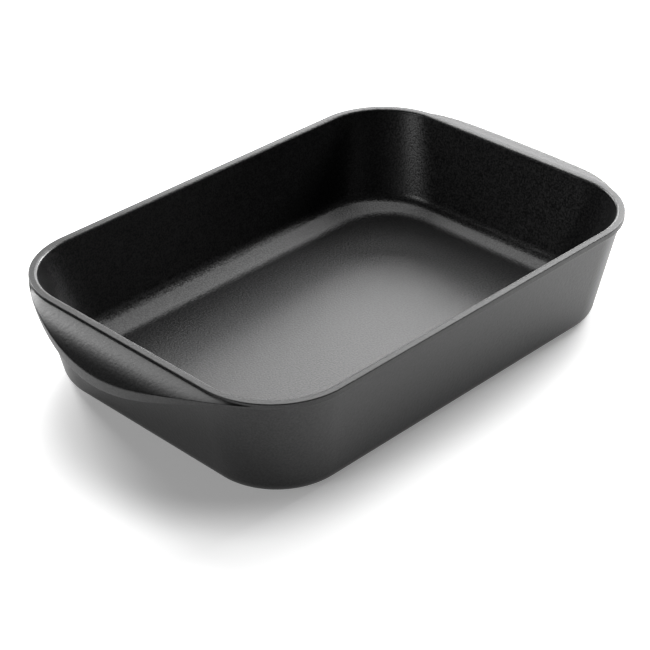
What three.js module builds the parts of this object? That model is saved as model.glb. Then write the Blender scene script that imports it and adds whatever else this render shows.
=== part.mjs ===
// Gratin dish: an aluminium die casting with a wing handle at each short end, a non-stick lining
// inside and a heat-proof lacquer outside. Millimetres, +Z up, long side along X, foot on z = 0.
import * as THREE from 'three';

// Opening, measured between the inner walls at the level of the rim
const OPENING_LENGTH = 285.2;
const OPENING_WIDTH = 199.8;
const OPENING_CORNER = 41;

// Walls, drafted so that the casting leaves its mould
const HEIGHT = 62.8;
const WALL_THICKNESS = 3.9;
const END_DRAFT = 11;
const SIDE_DRAFT = 10;
const FOOT_CORNER = 38.7;

// Rim bead
const RIM_WIDTH = 4.9;
const RIM_INNER_ROUND = 1.6;
const RIM_OUTER_ROUND = 0.5;
const BEAD_HEIGHT = 3.2;
const BEAD_UNDERCUT = 1.2;

// Floor, with a soft-edged bevel up to the walls, and foot
const FLOOR_THICKNESS = 5.4;
const BEVEL_RUN = 12.7;
const BEVEL_RISE = 5.5;
const BEVEL_TOP_ROUND = 4.3;
const BEVEL_FOOT_ROUND = 3;
const FOOT_ROUND = 8;
const FOOT_EDGE_ANGLE = 72;
const FOOT_RING_WIDTH = 9;
const FOOT_RECESS = 0.6;
const FOOT_RECESS_SLOPE = 1.2;

// Wing handles: how far they reach, dip and hang at the middle of each end
const HANDLE_REACH = 19.8;
const HANDLE_DIP = 6.6;
const HANDLE_STEP = 1.4;
const HANDLE_FALL = 0.6;
const HANDLE_SLOPE = 0.08;
const HANDLE_LIP = 6.1;
const HANDLE_ROOT = 7;
const DIP_POWER = 2.8;
const CROWN_POWER = 3.2;
const LIP_POWER = 1.2;

// Coatings, drawn thicker than the real sprayed films, and the hairline left under and between them
const LINING_THICKNESS = 0.3;
const LACQUER_THICKNESS = 0.3;
const BOND_GAP = 0.05;
const COATING_SEAM = 0.15;
const BARE_EDGE_ANGLE = 6;

// Steps along the outline and along the section
const END_STEPS = 12;
const SIDE_STEPS = 2;
const CORNER_STEPS = 9;
const EDGE_STEPS = 3;
const ROUND_STEPS = 4;
const CROWN_STEPS = 4;
const UNDERSIDE_STEPS = 3;

const radians = THREE.MathUtils.degToRad;
const lerp = THREE.MathUtils.lerp;
const floorTop = FOOT_RECESS + FLOOR_THICKNESS;

// Stations round the dish. Each one carries its share of the straight sides and its outward direction,
// so that outlines of any size and corner radius can be walked in step with each other.
function makeStations() {
  const stations = [];
  for (let quarter = 0; quarter < 4; quarter++) {
    const start = quarter * Math.PI / 2;
    const onEnd = quarter % 2 === 0;
    const sign = quarter < 2 ? 1 : -1;
    const straightSteps = onEnd ? END_STEPS : SIDE_STEPS;
    for (let i = 0; i < straightSteps; i++) {
      const share = lerp(-1, 1, i / straightSteps);
      const along = onEnd ? [sign, sign * share] : [-sign * share, sign];
      stations.push({ along, angle: start });
    }
    const corner = onEnd ? [sign, sign] : [-sign, sign];
    for (let i = 0; i < CORNER_STEPS; i++) {
      stations.push({ along: corner, angle: start + i / CORNER_STEPS * Math.PI / 2 });
    }
  }
  return stations;
}

function outlinePoint(station, outline, z) {
  const { halfLength, halfWidth, corner } = outline;
  const x = station.along[0] * (halfLength - corner) + corner * Math.cos(station.angle);
  const y = station.along[1] * (halfWidth - corner) + corner * Math.sin(station.angle);
  return new THREE.Vector3(x, y, z);
}

// The opening's outline grown outwards by an offset, as the rim is
function rimOutline(offset) {
  return {
    halfLength: OPENING_LENGTH / 2 + offset,
    halfWidth: OPENING_WIDTH / 2 + offset,
    corner: OPENING_CORNER + offset,
  };
}

// A drafted wall's outline at a height, from its offset at rim level and an inset for its rounds
function wallOutline(offset, z, inset = 0) {
  const depth = HEIGHT - z;
  const closing = (OPENING_CORNER + WALL_THICKNESS - FOOT_CORNER) / HEIGHT;
  return {
    halfLength: OPENING_LENGTH / 2 + offset - depth * Math.tan(radians(END_DRAFT)) - inset,
    halfWidth: OPENING_WIDTH / 2 + offset - depth * Math.tan(radians(SIDE_DRAFT)) - inset,
    corner: OPENING_CORNER + offset - depth * closing - inset,
  };
}

function localDraft(station) {
  const endShare = Math.cos(station.angle) ** 2;
  return radians(lerp(SIDE_DRAFT, END_DRAFT, endShare));
}

// One point of the round between a drafted wall and a level face: turn runs from the wall's own
// draft to a quarter turn, and centreZ is the height of the round's centre
function roundPoint(station, offset, radius, centreZ, turn) {
  const draft = localDraft(station);
  const drop = radius * Math.sin(turn);
  const inset = radius / Math.cos(draft) - radius * Math.cos(turn) - drop * Math.tan(draft);
  const z = centreZ - drop;
  return outlinePoint(station, wallOutline(offset, z, inset), z);
}

// Reach of the handle beyond the rim. In plan its lip is one arc that runs tangent into the rim's
// corners, so its radius follows from the reach.
function handleReach(station) {
  const rim = rimOutline(RIM_WIDTH);
  const side = Math.sign(Math.cos(station.angle));
  const cornerX = rim.halfLength - rim.corner;
  const cornerY = rim.halfWidth - rim.corner;
  const span = rim.corner + HANDLE_REACH;
  const arcRadius = (span ** 2 + cornerY ** 2 - rim.corner ** 2) / (2 * HANDLE_REACH);
  const arcCentre = new THREE.Vector3(side * (cornerX + span - arcRadius), 0, 0);
  const tangentAngle = Math.atan2(cornerY, arcRadius - span);
  const turned = Math.acos(Math.abs(Math.cos(station.angle)));
  if (turned >= tangentAngle) {
    return 0;
  }
  const outward = new THREE.Vector3(Math.cos(station.angle), Math.sin(station.angle), 0);
  const fromCentre = outlinePoint(station, rim, 0).sub(arcCentre);
  const projected = fromCentre.dot(outward);
  return Math.sqrt(projected ** 2 - fromCentre.lengthSq() + arcRadius ** 2) - projected;
}

// A point of the soft bend at a corner between two straight runs, at a share of the way round it
function bendPoint(before, corner, after, length, share) {
  const towards = (end) => {
    const run = Math.min(length, corner.distanceTo(end) / 2);
    return end.clone().sub(corner).setLength(run).add(corner);
  };
  return new THREE.QuadraticBezierCurve3(towards(before), corner, towards(after)).getPoint(share);
}

// Inner rows: floor edge, bevel with its two bends, inner wall and the rounded inner edge of the rim
function innerRows(stations) {
  const rows = [];
  const bevels = stations.map((station) => {
    const bevelEnd = floorTop + BEVEL_RISE;
    return {
      floor: outlinePoint(station, wallOutline(0, floorTop, 2 * BEVEL_RUN), floorTop),
      foot: outlinePoint(station, wallOutline(0, floorTop, BEVEL_RUN), floorTop),
      top: outlinePoint(station, wallOutline(0, bevelEnd), bevelEnd),
      rim: outlinePoint(station, rimOutline(0), HEIGHT),
    };
  });
  for (let i = 0; i <= EDGE_STEPS; i++) {
    const share = i / EDGE_STEPS;
    rows.push(bevels.map(({ floor, foot, top }) => bendPoint(floor, foot, top, BEVEL_FOOT_ROUND, share)));
  }
  for (let i = 0; i <= EDGE_STEPS; i++) {
    const share = i / EDGE_STEPS;
    rows.push(bevels.map(({ foot, top, rim }) => bendPoint(foot, top, rim, BEVEL_TOP_ROUND, share)));
  }
  for (let i = 0; i <= EDGE_STEPS; i++) {
    const turn = i / EDGE_STEPS * Math.PI / 2;
    const offset = RIM_INNER_ROUND * (1 - Math.cos(turn));
    const z = HEIGHT - RIM_INNER_ROUND * (1 - Math.sin(turn));
    rows.push(stations.map((station) => outlinePoint(station, rimOutline(offset), z)));
  }
  return rows;
}

// Outer rows: rim top, bead and handle, outer wall and the round down to the foot
function outerRows(stations) {
  const rimRow = (offset, z) => stations.map((station) => outlinePoint(station, rimOutline(offset), z));
  const cornerOffset = RIM_OUTER_ROUND * (1 - Math.SQRT1_2);
  const rows = [
    rimRow(RIM_INNER_ROUND + COATING_SEAM, HEIGHT),
    rimRow(RIM_WIDTH - RIM_OUTER_ROUND, HEIGHT),
    rimRow(RIM_WIDTH - cornerOffset, HEIGHT - cornerOffset),
    rimRow(RIM_WIDTH, HEIGHT - RIM_OUTER_ROUND),
    rimRow(RIM_WIDTH, HEIGHT - HANDLE_STEP),
  ];
  const lipRest = BEAD_HEIGHT - HANDLE_STEP - HANDLE_FALL;
  const rootRest = lipRest + HANDLE_FALL + BEAD_UNDERCUT;
  const flanges = stations.map((station) => {
    const reach = handleReach(station);
    const share = reach / HANDLE_REACH;
    const fullness = share ** LIP_POWER;
    return {
      station,
      rimEdge: outlinePoint(station, rimOutline(RIM_WIDTH), 0),
      outward: new THREE.Vector3(Math.cos(station.angle), Math.sin(station.angle), 0),
      reach,
      dip: HANDLE_DIP * share ** DIP_POWER,
      lip: lerp(lipRest, HANDLE_LIP, fullness),
      root: lerp(rootRest, HANDLE_ROOT, fullness),
    };
  });
  const topHeight = (flange, t) => {
    const fall = (HANDLE_FALL + HANDLE_SLOPE * flange.reach) * t;
    return HEIGHT - HANDLE_STEP - fall - flange.dip * t ** CROWN_POWER;
  };
  const topPoint = (flange, t) => {
    const point = flange.rimEdge.clone().addScaledVector(flange.outward, flange.reach * t);
    return point.setZ(topHeight(flange, t));
  };
  for (let i = 1; i <= CROWN_STEPS; i++) {
    rows.push(flanges.map((flange) => topPoint(flange, i / CROWN_STEPS)));
  }
  rows.push(flanges.map((flange) => {
    const point = topPoint(flange, 1);
    return point.setZ(point.z - flange.lip);
  }));
  for (let i = 1; i <= UNDERSIDE_STEPS; i++) {
    const t = i / UNDERSIDE_STEPS;
    rows.push(flanges.map((flange) => {
      const z = topHeight(flange, 1 - t) - lerp(flange.lip, flange.root, t);
      const wall = outlinePoint(flange.station, wallOutline(WALL_THICKNESS, z), z);
      return topPoint(flange, 1).lerp(wall, t).setZ(z);
    }));
  }
  const edgeTurn = radians(FOOT_EDGE_ANGLE);
  const coatEndTurn = radians(FOOT_EDGE_ANGLE - BARE_EDGE_ANGLE);
  const footCentre = FOOT_ROUND * Math.sin(edgeTurn);
  for (let i = 0; i <= ROUND_STEPS; i++) {
    rows.push(stations.map((station) => {
      const turn = lerp(localDraft(station), coatEndTurn, i / ROUND_STEPS);
      return roundPoint(station, WALL_THICKNESS, FOOT_ROUND, footCentre, turn);
    }));
  }
  return rows;
}

// Foot rows: the machined ring that the dish stands on and the shallow recess inside it
function footRows(stations) {
  const edgeTurn = radians(FOOT_EDGE_ANGLE);
  const footCentre = FOOT_ROUND * Math.sin(edgeTurn);
  const draftInset = (station) => {
    const draft = localDraft(station);
    return FOOT_ROUND * (1 / Math.cos(draft) - Math.cos(edgeTurn) - Math.sin(edgeTurn) * Math.tan(draft));
  };
  const insetRow = (inset, z) => stations.map((station) => {
    return outlinePoint(station, wallOutline(WALL_THICKNESS, 0, draftInset(station) + inset), z);
  });
  return [
    stations.map((station) => roundPoint(station, WALL_THICKNESS, FOOT_ROUND, footCentre, edgeTurn)),
    insetRow(FOOT_RING_WIDTH, 0),
    insetRow(FOOT_RING_WIDTH + FOOT_RECESS_SLOPE, FOOT_RECESS),
  ];
}

// Outward directions of a skin of rows, from the neighbouring rows and stations
function skinNormals(rows) {
  const count = rows[0].length;
  return rows.map((row, i) => row.map((point, j) => {
    if (i === 0) {
      return new THREE.Vector3(0, 0, 1);
    }
    if (i === rows.length - 1) {
      return new THREE.Vector3(0, 0, -1);
    }
    const along = row[(j + 1) % count].clone().sub(row[(j + count - 1) % count]);
    const across = rows[i + 1][j].clone().sub(rows[i - 1][j]);
    return across.cross(along).normalize();
  }));
}

function sunkRows(rows, normals, depth) {
  return rows.map((row, i) => row.map((point, j) => point.clone().addScaledVector(normals[i][j], -depth)));
}

// Triangles between two neighbouring rows; a flipped band faces the other way over the same diagonals
function pushBand(indices, lower, upper, count, flipped = false) {
  for (let j = 0; j < count; j++) {
    const next = (j + 1) % count;
    const faces = [[lower + j, upper + next, lower + next], [lower + j, upper + j, upper + next]];
    faces.forEach((face) => indices.push(...(flipped ? face.reverse() : face)));
  }
}

// A level cap over one row, as a fan round a point on the dish's axis
function pushCap(indices, positions, row, first, flipped = false) {
  const centre = positions.length / 3;
  positions.push(0, 0, row[0].z);
  row.forEach((point, j) => {
    const face = [centre, first + j, first + (j + 1) % row.length];
    indices.push(...(flipped ? face.reverse() : face));
  });
}

function geometryFrom(positions, indices) {
  const geometry = new THREE.BufferGeometry();
  geometry.setAttribute('position', new THREE.Float32BufferAttribute(positions, 3));
  geometry.setIndex(indices);
  geometry.computeVertexNormals();
  return geometry;
}

// A full solid inside one skin, capped over its first and last rows
function solidInside(rows) {
  const count = rows[0].length;
  const positions = rows.flat().flatMap((point) => point.toArray());
  const indices = [];
  for (let i = 0; i < rows.length - 1; i++) {
    pushBand(indices, i * count, (i + 1) * count, count);
  }
  pushCap(indices, positions, rows[0], 0);
  pushCap(indices, positions, rows[rows.length - 1], (rows.length - 1) * count, true);
  return geometryFrom(positions, indices);
}

// A film between a skin and the same skin sunk into the casting; a floored film spans its first row
function filmBetween(front, back, floored) {
  const count = front[0].length;
  const positions = [...front, ...back].flat().flatMap((point) => point.toArray());
  const indices = [];
  const backFirst = front.length * count;
  const lastRow = (front.length - 1) * count;
  for (let row = 0; row < lastRow; row += count) {
    pushBand(indices, row, row + count, count);
    pushBand(indices, backFirst + row, backFirst + row + count, count, true);
  }
  pushBand(indices, lastRow, backFirst + lastRow, count);
  if (floored) {
    pushCap(indices, positions, front[0], 0);
    pushCap(indices, positions, back[0], backFirst, true);
  } else {
    pushBand(indices, backFirst, 0, count);
  }
  return geometryFrom(positions, indices);
}

const stations = makeStations();
const inner = innerRows(stations);
const outer = outerRows(stations);
const foot = footRows(stations);
const skin = [...inner, ...outer, ...foot];
const normals = skinNormals(skin);
const innerNormals = normals.slice(0, inner.length);
const outerNormals = normals.slice(inner.length, inner.length + outer.length);

// Casting: floor, walls, rim and handles in one piece, bare on its machined foot
function makeCastBody() {
  const rows = [
    ...sunkRows(inner, innerNormals, LINING_THICKNESS + BOND_GAP),
    ...sunkRows(outer, outerNormals, LACQUER_THICKNESS + BOND_GAP),
    ...foot,
  ];
  const material = new THREE.MeshStandardMaterial({ color: 0xb4b6b8, metalness: 1, roughness: 0.42 });
  return new THREE.Mesh(solidInside(rows), material);
}

// Lining: the non-stick film over the floor, the inner walls and the rim's inner edge
function makeLining() {
  const back = sunkRows(inner, innerNormals, LINING_THICKNESS);
  const material = new THREE.MeshStandardMaterial({ color: 0x1c1c1d, metalness: 0, roughness: 0.46 });
  return new THREE.Mesh(filmBetween(inner, back, true), material);
}

// Lacquer: the film over the rim's top, the handles and the outer walls, down to the foot's edge
function makeLacquer() {
  const back = sunkRows(outer, outerNormals, LACQUER_THICKNESS);
  const material = new THREE.MeshStandardMaterial({ color: 0x2b2b2c, metalness: 0, roughness: 0.5 });
  return new THREE.Mesh(filmBetween(outer, back, false), material);
}

const dish = new THREE.Group();
const pieces = { cast_body: makeCastBody(), nonstick_lining: makeLining(), outer_lacquer: makeLacquer() };
for (const [name, mesh] of Object.entries(pieces)) {
  mesh.name = name;
  dish.add(mesh);
}

export default dish;
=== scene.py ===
import math

import bpy
import numpy as np
from mathutils import Matrix, Vector


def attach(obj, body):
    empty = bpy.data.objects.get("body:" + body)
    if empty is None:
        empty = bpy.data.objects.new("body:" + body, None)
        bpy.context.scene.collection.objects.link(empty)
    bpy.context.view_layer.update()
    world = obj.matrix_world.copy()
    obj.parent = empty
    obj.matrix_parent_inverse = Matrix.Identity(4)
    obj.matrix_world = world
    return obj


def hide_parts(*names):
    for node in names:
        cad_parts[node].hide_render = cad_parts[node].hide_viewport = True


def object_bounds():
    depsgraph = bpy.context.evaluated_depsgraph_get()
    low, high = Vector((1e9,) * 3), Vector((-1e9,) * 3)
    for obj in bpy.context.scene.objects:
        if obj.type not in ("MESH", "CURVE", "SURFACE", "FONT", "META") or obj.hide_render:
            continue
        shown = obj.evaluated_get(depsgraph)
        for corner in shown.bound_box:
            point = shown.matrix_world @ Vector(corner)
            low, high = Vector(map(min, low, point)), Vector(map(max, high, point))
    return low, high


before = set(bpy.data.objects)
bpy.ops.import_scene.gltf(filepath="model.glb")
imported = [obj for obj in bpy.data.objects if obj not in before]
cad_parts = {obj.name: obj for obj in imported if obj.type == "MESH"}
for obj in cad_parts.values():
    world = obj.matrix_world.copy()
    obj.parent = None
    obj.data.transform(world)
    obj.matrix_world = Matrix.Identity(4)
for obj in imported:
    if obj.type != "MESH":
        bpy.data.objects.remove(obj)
cad_low, cad_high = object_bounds()

# Casting
# The dish itself: floor, drafted walls, rim bead and both wing handles, die-cast in one pour of aluminium.
# Sprayed films cover all of it but the foot, which is milled flat and left bare.

# Outline and walls
MM = 0.001
RIM_WIDTH = 4.9 * MM
HANDLE_REACH = 19.8 * MM
HEIGHT = cad_high.z
OPENING_LENGTH = cad_high.x - cad_low.x - 2 * (RIM_WIDTH + HANDLE_REACH)
OPENING_WIDTH = cad_high.y - cad_low.y - 2 * RIM_WIDTH
OPENING_CORNER = 41 * MM
WALL_THICKNESS = 3.9 * MM
END_DRAFT = math.radians(11)
SIDE_DRAFT = math.radians(10)
FOOT_CORNER = 38.7 * MM
CORNER_CLOSING = (OPENING_CORNER + WALL_THICKNESS - FOOT_CORNER) / HEIGHT

# Rim, floor and foot; at the short ends the bevel round the floor is a little narrower
RIM_INNER_ROUND = 1.6 * MM
RIM_OUTER_ROUND = 0.5 * MM
BEAD_HEIGHT = 3.2 * MM
BEAD_UNDERCUT = 1.2 * MM
FLOOR_TOP = 6 * MM
FLOOR_CORNER = 46 * MM
CORE_CLOSING = (OPENING_CORNER - FLOOR_CORNER) / (HEIGHT - FLOOR_TOP)
FLOOR_BEVEL_RISE = 5.5 * MM
FLOOR_BEVEL_RUN = 12.7 * MM
END_BEVEL_SHARE = 0.75
BEVEL_TOP_ROUND = 4.3 * MM
BEVEL_FOOT_ROUND = 3 * MM
FOOT_ROUND = 8 * MM
FOOT_EDGE_ANGLE = math.radians(72)
FOOT_RING_WIDTH = 9 * MM
FOOT_RECESS = 0.6 * MM
FOOT_RECESS_SLOPE = 1.2 * MM

# Handles, with the small rounds on their edges and the shares of a handle's depth where those begin
HANDLE_DIP = 6.6 * MM
HANDLE_STEP = 1.4 * MM
HANDLE_FALL = 0.6 * MM
HANDLE_SLOPE = 0.08
HANDLE_LIP = 6.1 * MM
HANDLE_ROOT = 7 * MM
DIP_POWER = 2.8
CROWN_POWER = 3.2
LIP_POWER = 1.2
STEP_ROUND = 0.5 * MM
CROWN_ROUND = 0.7 * MM
LIP_ROUND = 0.9 * MM
ROOT_ROUND = 2.5 * MM
ROUND_START = 0.1
CROWN_START = 0.92
ROOT_START = 0.75

# Films, drawn thicker than the real spray so that each is a body of its own
FILM_THICKNESS = 0.3 * MM
BOND_GAP = 0.05 * MM
COATING_SEAM = 0.01 * MM
BARE_EDGE_ANGLE = math.radians(6)

# Steps of the mesh, and the short rows that hold a flat face flat right up to its rounds
END_STEPS = 48
SIDE_STEPS = 16
CORNER_STEPS = 24
HANDLE_STEPS = 12
ROUND_STEPS = 8
EDGE_STEPS = 5
HOLD = 0.3 * MM
LONGEST_HOLD = 0.25
LONGEST_ROUND = 0.45


def walk_outline():
    """Stations round the dish: each one's share of the straight sides and its outward angle"""
    shares = []
    angles = []
    for quarter in range(4):
        start = quarter * math.pi / 2
        on_end = quarter % 2 == 0
        sign = 1 if quarter < 2 else -1
        steps = END_STEPS if on_end else SIDE_STEPS
        for i in range(steps):
            share = 2 * i / steps - 1
            shares.append((sign, sign * share) if on_end else (-sign * share, sign))
            angles.append(start)
        for i in range(CORNER_STEPS):
            shares.append((sign, sign) if on_end else (-sign, sign))
            angles.append(start + i / CORNER_STEPS * math.pi / 2)
    return np.array(shares), np.array(angles)


along, angle = walk_outline()
outward = np.column_stack([np.cos(angle), np.sin(angle)])
end_share = np.cos(angle) ** 2
draft = SIDE_DRAFT + (END_DRAFT - SIDE_DRAFT) * end_share


# A row of the section holds five numbers at each station: how far it stands outside the opening's outline,
# the depth over which the wall's draft draws it in, its height, its reach out along the handle, and how
# much its corners close with the depth.
def section_row(grow, depth, height, reach=0.0, closing=CORNER_CLOSING):
    *columns, _ = np.broadcast_arrays(grow, depth, height, reach, closing, angle)
    return np.column_stack(columns)


def rim_row(grow, height):
    """A row of the rim, which the draft doesn't draw in"""
    return section_row(grow, 0.0, height)


def core_row(grow, depth, height):
    """A row of the inside, whose corners open out a little towards the floor"""
    return section_row(grow, depth, height, closing=CORE_CLOSING)


def set_off(row, grow, rise=0.0):
    """A row beside another one, further out by grow and higher by rise"""
    return row + section_row(grow, 0.0, rise, closing=0.0)


def round_row(grow, radius, centre_height, turn):
    """One row of the round between a drafted wall and a level face"""
    drop = radius * np.sin(turn)
    inset = radius / np.cos(draft) - radius * np.cos(turn) - drop * np.tan(draft)
    height = centre_height - drop
    return section_row(grow - inset, HEIGHT - height, height)


def run_between(first, last):
    """The distance between two rows along the section"""
    move = last - first
    return np.hypot(move[:, 0] + move[:, 3] - move[:, 1] * np.tan(draft), move[:, 2])


def softened(before, corner, after, length, steps):
    """The rows of a small round that takes the place of a sharp corner row"""
    ends = []
    for other in (before, after):
        share = length / np.maximum(run_between(corner, other), length / LONGEST_ROUND)
        ends.append(corner + share[:, None] * (other - corner))
    first, last = ends
    shares = np.linspace(0, 1, steps + 1)
    return [(1 - t) ** 2 * first + 2 * t * (1 - t) * corner + t ** 2 * last for t in shares]


def held(first, last):
    """Two rows close to the ends of a plain stretch, which keep it shaded as flat right up to its rounds"""
    share = HOLD / np.maximum(run_between(first, last), HOLD / LONGEST_HOLD)[:, None]
    return [first + share * (last - first), last + share * (first - last)]


# Inner skin: bevel round the floor, narrower at the ends, inner wall and the rounded inner edge of the rim
bevel_share = 1 - (1 - END_BEVEL_SHARE) * end_share
bevel_end = FLOOR_TOP + FLOOR_BEVEL_RISE * bevel_share
bevel_top = core_row(0.0, HEIGHT - bevel_end, bevel_end)
bevel_foot = core_row(-FLOOR_BEVEL_RUN * bevel_share, HEIGHT - FLOOR_TOP, FLOOR_TOP)
floor_inside = set_off(bevel_foot, -FLOOR_BEVEL_RUN)
floor_rows = softened(floor_inside, bevel_foot, bevel_top, BEVEL_FOOT_ROUND, ROUND_STEPS)
floor_rows += softened(bevel_foot, bevel_top, core_row(0.0, 0.0, HEIGHT), BEVEL_TOP_ROUND, ROUND_STEPS)
floor_flat = set_off(floor_rows[0], -HOLD)
wall_top = core_row(0.0, 0.0, HEIGHT - RIM_INNER_ROUND)
inner_rows = [floor_flat, *floor_rows, *held(floor_rows[-1], wall_top)]
for turn in np.linspace(0, math.pi / 2, ROUND_STEPS + 1):
    edge_grow = RIM_INNER_ROUND * (1 - math.cos(turn))
    inner_rows.append(rim_row(edge_grow, HEIGHT - RIM_INNER_ROUND * (1 - math.sin(turn))))


def handle_reach():
    """Reach of the handle beyond the rim: its lip is one arc in plan, tangent to the rim's corners"""
    rim_corner = OPENING_CORNER + RIM_WIDTH
    corner_x = OPENING_LENGTH / 2 - OPENING_CORNER
    corner_y = OPENING_WIDTH / 2 - OPENING_CORNER
    span = rim_corner + HANDLE_REACH
    arc_radius = (span ** 2 + corner_y ** 2 - rim_corner ** 2) / (2 * HANDLE_REACH)
    side = np.sign(outward[:, 0])
    rim_edge = along * (corner_x, corner_y) + rim_corner * outward
    from_centre = rim_edge - np.column_stack([side * (corner_x + span - arc_radius), 0 * side])
    projected = np.sum(from_centre * outward, axis=1)
    squared = projected ** 2 - np.sum(from_centre ** 2, axis=1) + arc_radius ** 2
    reach = np.sqrt(np.maximum(squared, 0)) - projected
    turned = np.arccos(np.minimum(np.abs(outward[:, 0]), 1))
    return np.where(turned < math.atan2(corner_y, arc_radius - span), reach, 0.0)


# Outer skin: rim top, bead, handle, outer wall and the round that runs in under the foot
reach = handle_reach()
fullness = (reach / HANDLE_REACH) ** LIP_POWER
dip = HANDLE_DIP * (reach / HANDLE_REACH) ** DIP_POWER
lip_rest = BEAD_HEIGHT - HANDLE_STEP - HANDLE_FALL
lip = lip_rest + (HANDLE_LIP - lip_rest) * fullness
root_rest = lip_rest + HANDLE_FALL + BEAD_UNDERCUT
root = root_rest + (HANDLE_ROOT - root_rest) * fullness


def handle_top(t):
    """A row of the handle's top, from the bead at t = 0 out to the lip at t = 1"""
    fall = HANDLE_FALL * t + HANDLE_SLOPE * reach * t + dip * t ** CROWN_POWER
    return section_row(RIM_WIDTH, 0.0, HEIGHT - HANDLE_STEP - fall, reach * t)


def handle_underside(t):
    """A row under the handle, from the lip at t = 0 back to the wall at t = 1"""
    height = handle_top(1 - t)[:, 2] - lip - (root - lip) * t
    grow = RIM_WIDTH + (WALL_THICKNESS - RIM_WIDTH) * t
    return section_row(grow, t * (HEIGHT - height), height, reach * (1 - t))


foot_centre = FOOT_ROUND * math.sin(FOOT_EDGE_ANGLE)
rim_inside = rim_row(RIM_INNER_ROUND + COATING_SEAM, HEIGHT)
outer_rows = [rim_inside, *held(rim_inside, rim_row(RIM_WIDTH - RIM_OUTER_ROUND, HEIGHT))]
for turn in np.linspace(0, math.pi / 2, EDGE_STEPS + 1):
    edge_grow = RIM_WIDTH - RIM_OUTER_ROUND * (1 - math.sin(turn))
    outer_rows.append(rim_row(edge_grow, HEIGHT - RIM_OUTER_ROUND * (1 - math.cos(turn))))
outer_rows += softened(outer_rows[-1], handle_top(0), handle_top(ROUND_START), STEP_ROUND, EDGE_STEPS)
outer_rows += [handle_top(t) for t in np.linspace(ROUND_START, CROWN_START, HANDLE_STEPS + 1)]
outer_rows += softened(handle_top(CROWN_START), handle_top(1), handle_underside(0), CROWN_ROUND, EDGE_STEPS)
outer_rows += softened(handle_top(1), handle_underside(0), handle_underside(ROUND_START), LIP_ROUND,
                       EDGE_STEPS)
outer_rows += [handle_underside(t) for t in np.linspace(ROUND_START, ROOT_START, HANDLE_STEPS + 1)]
wall_foot = round_row(WALL_THICKNESS, FOOT_ROUND, foot_centre, draft)
outer_rows += softened(handle_underside(ROOT_START), handle_underside(1), wall_foot, ROOT_ROUND, ROUND_STEPS)
outer_rows += held(outer_rows[-1], wall_foot)
for step in np.linspace(0, 1, ROUND_STEPS + 1):
    turn = draft + (FOOT_EDGE_ANGLE - BARE_EDGE_ANGLE - draft) * step
    outer_rows.append(round_row(WALL_THICKNESS, FOOT_ROUND, foot_centre, turn))

# Foot skin: the milled ring that the dish stands on and the shallow recess inside it
foot_edge = round_row(WALL_THICKNESS, FOOT_ROUND, foot_centre, FOOT_EDGE_ANGLE)
ring_inside = set_off(foot_edge, -FOOT_RING_WIDTH)
recess_edge = set_off(ring_inside, -FOOT_RECESS_SLOPE, FOOT_RECESS)
recess_flat = set_off(recess_edge, -HOLD)
foot_rows = [foot_edge, *held(foot_edge, ring_inside), ring_inside, recess_edge, recess_flat]

STATION_VECTORS = {"along": along, "outward": outward}
POINT_NUMBERS = ("grow", "depth", "height", "reach", "closing", "sunk")


def section_lattice(name, rows, sunk, capped_first=False, capped_last=False):
    """A mesh of the rows' points, joined up but not yet placed; its attributes say where each point goes"""
    count = len(angle)
    faces = []
    last_row = (len(rows) - 1) * count
    for lower in range(0, last_row, count):
        upper = lower + count
        for here in range(count):
            following = (here + 1) % count
            faces.append((lower + here, upper + here, upper + following, lower + following))
    if capped_first:
        faces.append(tuple(range(count)))
    if capped_last:
        faces.append(tuple(reversed(range(last_row, last_row + count))))
    mesh = bpy.data.meshes.new(name)
    mesh.from_pydata([(0, 0, 0)] * (len(rows) * count), [], faces)
    flat = np.zeros(count)
    for title, vectors in STATION_VECTORS.items():
        values = np.tile(np.column_stack([vectors, flat]), (len(rows), 1))
        mesh.attributes.new(title, "FLOAT_VECTOR", "POINT").data.foreach_set("vector", values.ravel())
    numbers = np.column_stack([np.concatenate(rows), np.repeat(sunk, count)])
    for column, title in enumerate(POINT_NUMBERS):
        values = numbers[:, column].copy()
        mesh.attributes.new(title, "FLOAT", "POINT").data.foreach_set("value", values)
    return mesh


def add_node(tree, kind, inputs=None, **settings):
    """Adds a node with its settings; an input takes a value, a socket, or a node for its own result"""
    node = tree.nodes.new(kind)
    for name, value in settings.items():
        setattr(node, name, value)
    for name, value in (inputs or {}).items():
        if isinstance(value, bpy.types.Node):
            value = next(socket for socket in value.outputs if not socket.is_unavailable)
        if isinstance(value, bpy.types.NodeSocket):
            tree.links.new(value, node.inputs[name])
        else:
            node.inputs[name].default_value = value
    return node


DISH_SIZES = {
    "Opening Length": OPENING_LENGTH,
    "Opening Width": OPENING_WIDTH,
    "Opening Corner": OPENING_CORNER,
    "End Draft": END_DRAFT,
    "Side Draft": SIDE_DRAFT,
}
WELD = 0.001 * MM


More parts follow.
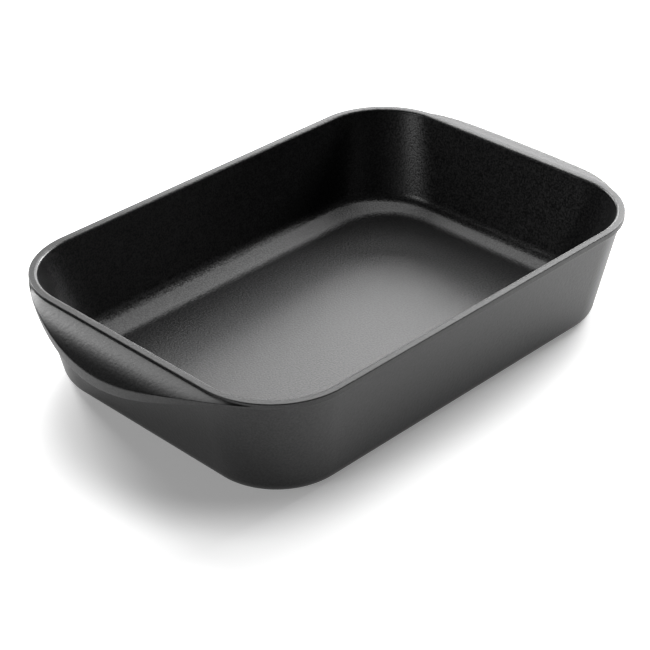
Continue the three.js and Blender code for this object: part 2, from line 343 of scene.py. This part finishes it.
def dish_skin_tree(name, as_film):
    """Geometry Nodes that wrap a lattice round the drafted outline, as a full skin or as a thin film"""
    tree = bpy.data.node_groups.new(name, "GeometryNodeTree")
    tree.interface.new_socket("Geometry", in_out="INPUT", socket_type="NodeSocketGeometry")
    for title in [*DISH_SIZES, "Film Thickness"]:
        tree.interface.new_socket(title, in_out="INPUT", socket_type="NodeSocketFloat")
    tree.interface.new_socket("Finish", in_out="INPUT", socket_type="NodeSocketMaterial")
    tree.interface.new_socket("Geometry", in_out="OUTPUT", socket_type="NodeSocketGeometry")
    sizes = add_node(tree, "NodeGroupInput").outputs
    stored = {}
    for title in (*STATION_VECTORS, *POINT_NUMBERS):
        kind = "FLOAT_VECTOR" if title in STATION_VECTORS else "FLOAT"
        stored[title] = add_node(tree, "GeometryNodeInputNamedAttribute", {"Name": title}, data_type=kind)

    # The corners' centres, drawn in by the draft as the wall goes down
    corner = sizes["Opening Corner"]
    closing = stored["closing"]
    opening = add_node(tree, "ShaderNodeCombineXYZ",
                       {"X": sizes["Opening Length"], "Y": sizes["Opening Width"]})
    half_opening = add_node(tree, "ShaderNodeVectorMath", {0: opening, "Scale": 0.5}, operation="SCALE")
    corner_inset = add_node(tree, "ShaderNodeCombineXYZ", {"X": corner, "Y": corner})
    corner_centre = add_node(tree, "ShaderNodeVectorMath",
                             {0: half_opening, 1: corner_inset}, operation="SUBTRACT")
    end_slope = add_node(tree, "ShaderNodeMath", {0: sizes["End Draft"]}, operation="TANGENT")
    side_slope = add_node(tree, "ShaderNodeMath", {0: sizes["Side Draft"]}, operation="TANGENT")
    end_draw = add_node(tree, "ShaderNodeMath", {0: end_slope, 1: closing}, operation="SUBTRACT")
    side_draw = add_node(tree, "ShaderNodeMath", {0: side_slope, 1: closing}, operation="SUBTRACT")
    draw = add_node(tree, "ShaderNodeCombineXYZ", {"X": end_draw, "Y": side_draw})
    drawn_in = add_node(tree, "ShaderNodeVectorMath", {0: draw, "Scale": stored["depth"]}, operation="SCALE")
    centre_here = add_node(tree, "ShaderNodeVectorMath",
                           {0: corner_centre, 1: drawn_in}, operation="SUBTRACT")
    straight = add_node(tree, "ShaderNodeVectorMath",
                        {0: stored["along"], 1: centre_here}, operation="MULTIPLY")

    # The bend round the corner, with what stands outside it, and the height
    closed = add_node(tree, "ShaderNodeMath", {0: stored["depth"], 1: closing}, operation="MULTIPLY")
    corner_here = add_node(tree, "ShaderNodeMath", {0: corner, 1: closed}, operation="SUBTRACT")
    grown = add_node(tree, "ShaderNodeMath", {0: corner_here, 1: stored["grow"]}, operation="ADD")
    radius = add_node(tree, "ShaderNodeMath", {0: grown, 1: stored["reach"]}, operation="ADD")
    bend = add_node(tree, "ShaderNodeVectorMath", {0: stored["outward"], "Scale": radius}, operation="SCALE")
    level = add_node(tree, "ShaderNodeVectorMath", {0: straight, 1: bend}, operation="ADD")
    lift = add_node(tree, "ShaderNodeCombineXYZ", {"Z": stored["height"]})
    place = add_node(tree, "ShaderNodeVectorMath", {0: level, 1: lift}, operation="ADD")
    placed = add_node(tree, "GeometryNodeSetPosition", {"Geometry": sizes["Geometry"], "Position": place})

    # The casting lies under its films; a film gets its own back and edges
    normal = add_node(tree, "GeometryNodeInputNormal").outputs["Normal"]
    inward = add_node(tree, "ShaderNodeVectorMath", {0: normal, "Scale": -1.0}, operation="SCALE")
    sink = add_node(tree, "ShaderNodeVectorMath", {0: inward, "Scale": stored["sunk"]}, operation="SCALE")
    skin = add_node(tree, "GeometryNodeSetPosition", {"Geometry": placed, "Offset": sink})
    if as_film:
        thickness = add_node(tree, "ShaderNodeMath",
                             {0: sizes["Film Thickness"], 1: -1.0}, operation="MULTIPLY")
        back = add_node(tree, "GeometryNodeExtrudeMesh",
                        {"Mesh": skin, "Offset Scale": thickness, "Individual": False}, mode="FACES")
        turned = add_node(tree, "GeometryNodeFlipFaces", {"Mesh": back})
        both = add_node(tree, "GeometryNodeJoinGeometry", {"Geometry": turned})
        tree.links.new(skin.outputs["Geometry"], both.inputs["Geometry"])
        welded = add_node(tree, "GeometryNodeMergeByDistance", {"Geometry": both, "Distance": WELD})
        rounded = add_node(tree, "GeometryNodeSetShadeSmooth", {"Geometry": welded})
        smooth = add_node(tree, "GeometryNodeSetShadeSmooth",
                          {"Geometry": rounded, "Selection": back.outputs["Side"], "Shade Smooth": False})
    else:
        smooth = add_node(tree, "GeometryNodeSetShadeSmooth", {"Geometry": skin})
    real = add_node(tree, "GeometryNodeRealizeInstances", {"Geometry": smooth})
    finished = add_node(tree, "GeometryNodeSetMaterial", {"Geometry": real, "Material": sizes["Finish"]})
    add_node(tree, "NodeGroupOutput", {"Geometry": finished})
    return tree


def dish_piece(name, lattice, tree, finish):
    """Runs a tree on a lattice and keeps the result as a plain mesh"""
    carrier = bpy.data.objects.new(name + "_lattice", lattice)
    bpy.context.scene.collection.objects.link(carrier)
    modifier = carrier.modifiers.new("skin", "NODES")
    modifier.node_group = tree
    values = {**DISH_SIZES, "Film Thickness": FILM_THICKNESS, "Finish": finish}
    for item in tree.interface.items_tree:
        if item.in_out == "INPUT" and item.name in values:
            modifier[item.identifier] = values[item.name]
    depsgraph = bpy.context.evaluated_depsgraph_get()
    mesh = bpy.data.meshes.new_from_object(carrier.evaluated_get(depsgraph))
    carrier.modifiers.remove(modifier)
    bpy.data.objects.remove(carrier)
    for title in (*STATION_VECTORS, *POINT_NUMBERS):
        mesh.attributes.remove(mesh.attributes[title])
    piece = bpy.data.objects.new(name, mesh)
    bpy.context.scene.collection.objects.link(piece)
    return piece


def linear(hex_colour):
    """A colour's linear values from its sRGB hex"""
    shares = [int(hex_colour[i:i + 2], 16) / 255 for i in (1, 3, 5)]
    return (*[s / 12.92 if s <= 0.04045 else ((s + 0.055) / 1.055) ** 2.4 for s in shares], 1.0)


def new_material(name, **constants):
    """A material with one Principled shader; constants are set on the shader's own sockets"""
    material = bpy.data.materials.new(name)
    material.use_nodes = True
    tree = material.node_tree
    shader = tree.nodes["Principled BSDF"]
    for title, value in constants.items():
        shader.inputs[title.replace("_", " ")].default_value = value
    place = add_node(tree, "ShaderNodeTexCoord").outputs["Object"]
    return material, tree, shader, place


# The cutter's real feed is about 0.1 mm; it is drawn coarser, so that a picture shows the arcs.
# At a scale of 1 the wave texture draws a ring every tenth of pi.
CUTTER_FEED = 0.5 * MM
CUTTER_SWEEP = 400 * MM
CUTTER_WAVER = 0.6
WAVE_SPACING = math.pi / 10
GROOVE_DEPTH = 0.02 * MM
GROOVE_STRENGTH = 0.25
CAST_CLOUD = 9 * MM
MILLED_GREY = "#a9abad"
MILLED_PALE = "#c6c8ca"
MILLED_SMOOTHEST = 0.28
MILLED_ROUGHEST = 0.42


# Milled aluminium: a fly cutter leaves fine arcs across the foot, so it shines in silky streaks
def milled_aluminium():
    material, tree, shader, place = new_material("milled_aluminium", Metallic=1.0)
    moved = add_node(tree, "ShaderNodeMapping", {"Vector": place, "Location": (CUTTER_SWEEP, 0.0, 0.0)})
    arcs = add_node(tree, "ShaderNodeTexWave",
                    {"Vector": moved, "Scale": WAVE_SPACING / CUTTER_FEED, "Distortion": CUTTER_WAVER,
                     "Detail": 2.0}, wave_type="RINGS", rings_direction="Z")
    cloud = add_node(tree, "ShaderNodeTexNoise", {"Vector": place, "Scale": 1 / CAST_CLOUD, "Detail": 4.0})
    tone = add_node(tree, "ShaderNodeMix",
                    {"Factor": cloud.outputs["Fac"], "A": linear(MILLED_GREY), "B": linear(MILLED_PALE)},
                    data_type="RGBA")
    silk = add_node(tree, "ShaderNodeMapRange",
                    {"Value": arcs.outputs["Fac"], "To Min": MILLED_SMOOTHEST, "To Max": MILLED_ROUGHEST})
    grooves = add_node(tree, "ShaderNodeBump",
                       {"Height": arcs.outputs["Fac"], "Strength": GROOVE_STRENGTH, "Distance": GROOVE_DEPTH})
    tree.links.new(tone.outputs["Result"], shader.inputs["Base Color"])
    tree.links.new(silk.outputs["Result"], shader.inputs["Roughness"])
    tree.links.new(grooves.outputs["Normal"], shader.inputs["Normal"])
    return material


coated = len(inner_rows) + len(outer_rows)
cast_sunk = np.array([FILM_THICKNESS + BOND_GAP] * coated + [0.0] * len(foot_rows))
cast_rows = inner_rows + outer_rows + foot_rows
cast_lattice = section_lattice("cast_lattice", cast_rows, cast_sunk, capped_first=True, capped_last=True)
cast_tree = dish_skin_tree("Cast skin", as_film=False)
casting = dish_piece("dish_casting", cast_lattice, cast_tree, milled_aluminium())
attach(casting, "root")
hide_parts("cast_body")

# Lining
# The non-stick film inside: fluoropolymer with mineral flecks, sprayed and baked on to floor and walls.
# It ends on the rim's rounded inner edge, where the lacquer takes over.

# The real grain and flecks measure about 0.2 mm; they are drawn coarser, so that a picture shows them.
# A fleck's core and edge are shares of its size, and most of the grain lies between its low and its high.
FLECK_SIZE = 1.6 * MM
FLECK_CORE = 0.12
FLECK_EDGE = 0.22
FLECK_STRENGTH = 0.8
SPRAY_GRAIN = 1 * MM
GRAIN_LOW = 0.3
GRAIN_HIGH = 0.7
GRAIN_RELIEF = 0.06 * MM
LINING_IOR = 1.66
LINING_BLACK = "#0f0f10"
FLECK_GREY = "#1c1c1d"
LINING_SMOOTHEST = 0.28
LINING_ROUGHEST = 0.42
LINING_DULLEST = 0.36
LINING_SHINIEST = 0.64


# Baked fluoropolymer: black, with a soft sheen that grain and flecks break up into a fine speckle
def nonstick_film():
    material, tree, shader, place = new_material("baked_fluoropolymer", IOR=LINING_IOR)
    grain = add_node(tree, "ShaderNodeTexNoise", {"Vector": place, "Scale": 1 / SPRAY_GRAIN, "Detail": 0.0})
    flecks = add_node(tree, "ShaderNodeTexVoronoi", {"Vector": place, "Scale": 1 / FLECK_SIZE})
    fleck_mask = add_node(tree, "ShaderNodeMapRange",
                          {"Value": flecks.outputs["Distance"], "From Min": FLECK_CORE,
                           "From Max": FLECK_EDGE, "To Min": FLECK_STRENGTH, "To Max": 0.0})
    tone = add_node(tree, "ShaderNodeMix",
                    {"Factor": fleck_mask, "A": linear(LINING_BLACK), "B": linear(FLECK_GREY)},
                    data_type="RGBA")
    sheen = add_node(tree, "ShaderNodeMapRange",
                     {"Value": grain.outputs["Fac"], "From Min": GRAIN_LOW, "From Max": GRAIN_HIGH,
                      "To Min": LINING_SMOOTHEST, "To Max": LINING_ROUGHEST})
    sparkle = add_node(tree, "ShaderNodeMapRange",
                       {"Value": grain.outputs["Fac"], "From Min": GRAIN_LOW, "From Max": GRAIN_HIGH,
                        "To Min": LINING_DULLEST, "To Max": LINING_SHINIEST})
    relief = add_node(tree, "ShaderNodeBump", {"Height": grain.outputs["Fac"], "Distance": GRAIN_RELIEF})
    tree.links.new(tone.outputs["Result"], shader.inputs["Base Color"])
    tree.links.new(sheen.outputs["Result"], shader.inputs["Roughness"])
    tree.links.new(sparkle.outputs["Result"], shader.inputs["Specular IOR Level"])
    tree.links.new(relief.outputs["Normal"], shader.inputs["Normal"])
    return material


film_tree = dish_skin_tree("Sprayed film", as_film=True)
lining_lattice = section_lattice("lining_lattice", inner_rows, np.zeros(len(inner_rows)), capped_first=True)
lining = dish_piece("nonstick_film", lining_lattice, film_tree, nonstick_film())
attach(lining, "root")
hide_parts("nonstick_lining")

# Lacquer
# The heat-proof film outside: silicone lacquer sprayed over the rim's top, the handles and the outer walls.
# It stops at the foot's edge, where the milling cut it away.

# The real spray grain measures about 0.2 mm; it is drawn coarser, so that a picture shows it.
LACQUER_PEEL = 1.8 * MM
LACQUER_GRAIN = 1 * MM
PEEL_RELIEF = 0.08 * MM
LACQUER_IOR = 1.53
LACQUER_BLACK = "#070708"
LACQUER_GREY = "#0d0d0e"
LACQUER_SMOOTHEST = 0.34
LACQUER_ROUGHEST = 0.44
LACQUER_DULLEST = 0.42
LACQUER_SHINIEST = 0.58


# Silicone lacquer: a dark satin black with a faint orange peel, a little duller than the lining
def heatproof_lacquer():
    material, tree, shader, place = new_material("silicone_lacquer", IOR=LACQUER_IOR)
    peel = add_node(tree, "ShaderNodeTexNoise", {"Vector": place, "Scale": 1 / LACQUER_PEEL, "Detail": 2.0})
    grain = add_node(tree, "ShaderNodeTexNoise", {"Vector": place, "Scale": 1 / LACQUER_GRAIN, "Detail": 2.0})
    tone = add_node(tree, "ShaderNodeMix",
                    {"Factor": grain.outputs["Fac"], "A": linear(LACQUER_BLACK), "B": linear(LACQUER_GREY)},
                    data_type="RGBA")
    sheen = add_node(tree, "ShaderNodeMapRange",
                     {"Value": grain.outputs["Fac"], "To Min": LACQUER_SMOOTHEST, "To Max": LACQUER_ROUGHEST})
    sparkle = add_node(tree, "ShaderNodeMapRange",
                       {"Value": grain.outputs["Fac"], "From Min": GRAIN_LOW, "From Max": GRAIN_HIGH,
                        "To Min": LACQUER_DULLEST, "To Max": LACQUER_SHINIEST})
    relief = add_node(tree, "ShaderNodeBump", {"Height": peel.outputs["Fac"], "Distance": PEEL_RELIEF})
    tree.links.new(tone.outputs["Result"], shader.inputs["Base Color"])
    tree.links.new(sheen.outputs["Result"], shader.inputs["Roughness"])
    tree.links.new(sparkle.outputs["Result"], shader.inputs["Specular IOR Level"])
    tree.links.new(relief.outputs["Normal"], shader.inputs["Normal"])
    return material


lacquer_lattice = section_lattice("lacquer_lattice", outer_rows, np.zeros(len(outer_rows)))
lacquer = dish_piece("lacquer_film", lacquer_lattice, film_tree, heatproof_lacquer())
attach(lacquer, "root")
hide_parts("outer_lacquer")

# Table
# A plain white table top under the dish, which takes its shadow. Where it is seen straight or in a reflection
# it adds a white of its own, less of it in a rounded strip under and beside the dish: that strip is painted
# shadow.

TABLE_HALF = 4.0
TABLE_DROP = 0.1 * MM
TABLE_WHITE = "#fafafa"
TABLE_ROUGHNESS = 0.9
PURE_WHITE = "#ffffff"
# Painted shadow: the rounded strip round the dish where the table adds less white of its own
SHADE_CENTRE = (-10.4 * MM, -14 * MM, 0.0)
SHADE_HALF_LENGTH = 78 * MM
SHADE_RADIUS = 73.5 * MM
SHADE_END = 114.5 * MM
WHITE_IN_SHADE = 0.235
WHITE_OUTSIDE = 0.66

corners = [(-1, -1), (1, -1), (1, 1), (-1, 1)]
table_mesh = bpy.data.meshes.new("table_top")
table_points = [(TABLE_HALF * x, TABLE_HALF * y, -TABLE_DROP) for x, y in corners]
table_mesh.from_pydata(table_points, [], [(0, 1, 2, 3)])
table_top = bpy.data.objects.new("table_top", table_mesh)
bpy.context.scene.collection.objects.link(table_top)
table_white, table_tree, table_shader, table_place = new_material(
    "white_table_top", Base_Color=linear(TABLE_WHITE), Roughness=TABLE_ROUGHNESS, Specular_IOR_Level=0.0,
    Emission_Color=linear(PURE_WHITE))
shifted = add_node(table_tree, "ShaderNodeVectorMath",
                   {0: table_place, 1: SHADE_CENTRE}, operation="SUBTRACT")
folded = add_node(table_tree, "ShaderNodeVectorMath", {0: shifted}, operation="ABSOLUTE")
beyond = add_node(table_tree, "ShaderNodeVectorMath",
                  {0: folded, 1: (SHADE_HALF_LENGTH, 0.0, 0.0)}, operation="SUBTRACT")
kept = add_node(table_tree, "ShaderNodeVectorMath", {0: beyond, 1: (0.0, 0.0, 0.0)}, operation="MAXIMUM")
away = add_node(table_tree, "ShaderNodeVectorMath", {0: kept}, operation="LENGTH")
# The table's own white, lowered to a painted shadow inside the strip round the dish
painted_shadow_white = add_node(table_tree, "ShaderNodeMapRange",
                {"Value": away.outputs["Value"], "From Min": SHADE_RADIUS, "From Max": SHADE_END,
                 "To Min": WHITE_IN_SHADE, "To Max": WHITE_OUTSIDE}, interpolation_type="SMOOTHSTEP")
seen = add_node(table_tree, "ShaderNodeLightPath").outputs
mirrored = add_node(table_tree, "ShaderNodeMath",
                    {0: seen["Is Glossy Ray"], 1: seen["Is Transmission Ray"]}, operation="ADD")
any_way = add_node(table_tree, "ShaderNodeMath", {0: seen["Is Camera Ray"], 1: mirrored}, operation="ADD")
seen_painted_shadow_white = add_node(table_tree, "ShaderNodeMath", {0: any_way, 1: painted_shadow_white}, operation="MULTIPLY")
table_tree.links.new(seen_painted_shadow_white.outputs["Value"], table_shader.inputs["Emission Strength"])
table_mesh.materials.append(table_white)

# Light and camera
# Two strong softboxes stand low, right of the dish and behind it. Between and above them hang broad, dim
# panels, which the satin films mirror, and a small one stands on the left. The camera faces the near corner.

# Lamps stand in metres and degrees, seen from the dish: a heading of 0 is +X, and 90 is +Y.
# A level is the brightness of a lamp's face, where 1 would be seen as white.
LAMP_DISTANCE = 1.4
LAMPS = {
    "right_softbox": {"heading": 2, "rise": 28, "size": (0.7, 0.33), "level": 26.0},
    "back_softbox": {"heading": 83, "rise": 28, "size": (0.36, 0.33), "level": 27.0},
    "wall_panel": {"heading": 37, "rise": 23, "size": (0.95, 0.62), "level": 5.3},
    "upper_panel": {"heading": 44, "rise": 50, "size": (1.5, 0.5), "level": 2.9},
    "overhead_panel": {"heading": 45, "rise": 71, "size": (0.9, 0.5), "level": 2.5},
    "left_panel": {"heading": 169, "rise": 16, "size": (0.38, 0.22), "level": 10.5},
}
ROOM_LIGHT = 0.04

for name, lamp in LAMPS.items():
    length, width = lamp["size"]
    lamp_data = bpy.data.lights.new(name, "AREA")
    lamp_data.shape = "RECTANGLE"
    lamp_data.size = length
    lamp_data.size_y = width
    lamp_data.energy = math.pi * length * width * lamp["level"]
    lamp_object = bpy.data.objects.new(name, lamp_data)
    turned = Matrix.Rotation(math.radians(lamp["heading"]), 3, "Z")
    tilted = Matrix.Rotation(math.radians(-lamp["rise"]), 3, "Y")
    lamp_object.location = turned @ tilted @ Vector((LAMP_DISTANCE, 0.0, 0.0))
    lamp_object.rotation_euler = lamp_object.location.to_track_quat("Z", "Y").to_euler()
    bpy.context.scene.collection.objects.link(lamp_object)

room = bpy.data.worlds.new("dim_room")
room.use_nodes = True
room.node_tree.nodes["Background"].inputs["Strength"].default_value = ROOM_LIGHT
room.node_tree.nodes["Background"].inputs["Color"].default_value = linear(PURE_WHITE)
bpy.context.scene.world = room

# The camera's place, turn and lens follow from the outlines of rim and foot in the picture
EYE = Vector((-631.25, -623.52, 560.1)) * MM
CAMERA_HEADING = math.radians(-45)
CAMERA_DOWNWARD = math.radians(31.96)
CAMERA_ROLL = math.radians(-0.725)
CAMERA_LENS = 105.34
CAMERA_SENSOR = 36.0

camera_data = bpy.data.cameras.new("photo_camera")
camera_data.sensor_width = CAMERA_SENSOR
camera_data.lens = CAMERA_LENS
camera = bpy.data.objects.new("photo_camera", camera_data)
heading = Matrix.Rotation(CAMERA_HEADING, 4, "Z")
pitch = Matrix.Rotation(math.pi / 2 - CAMERA_DOWNWARD, 4, "X")
roll = Matrix.Rotation(CAMERA_ROLL, 4, "Z")
camera.matrix_world = Matrix.Translation(EYE) @ heading @ pitch @ roll
bpy.context.scene.collection.objects.link(camera)
bpy.context.scene.camera = camera
bpy.context.scene.view_settings.view_transform = "Standard"
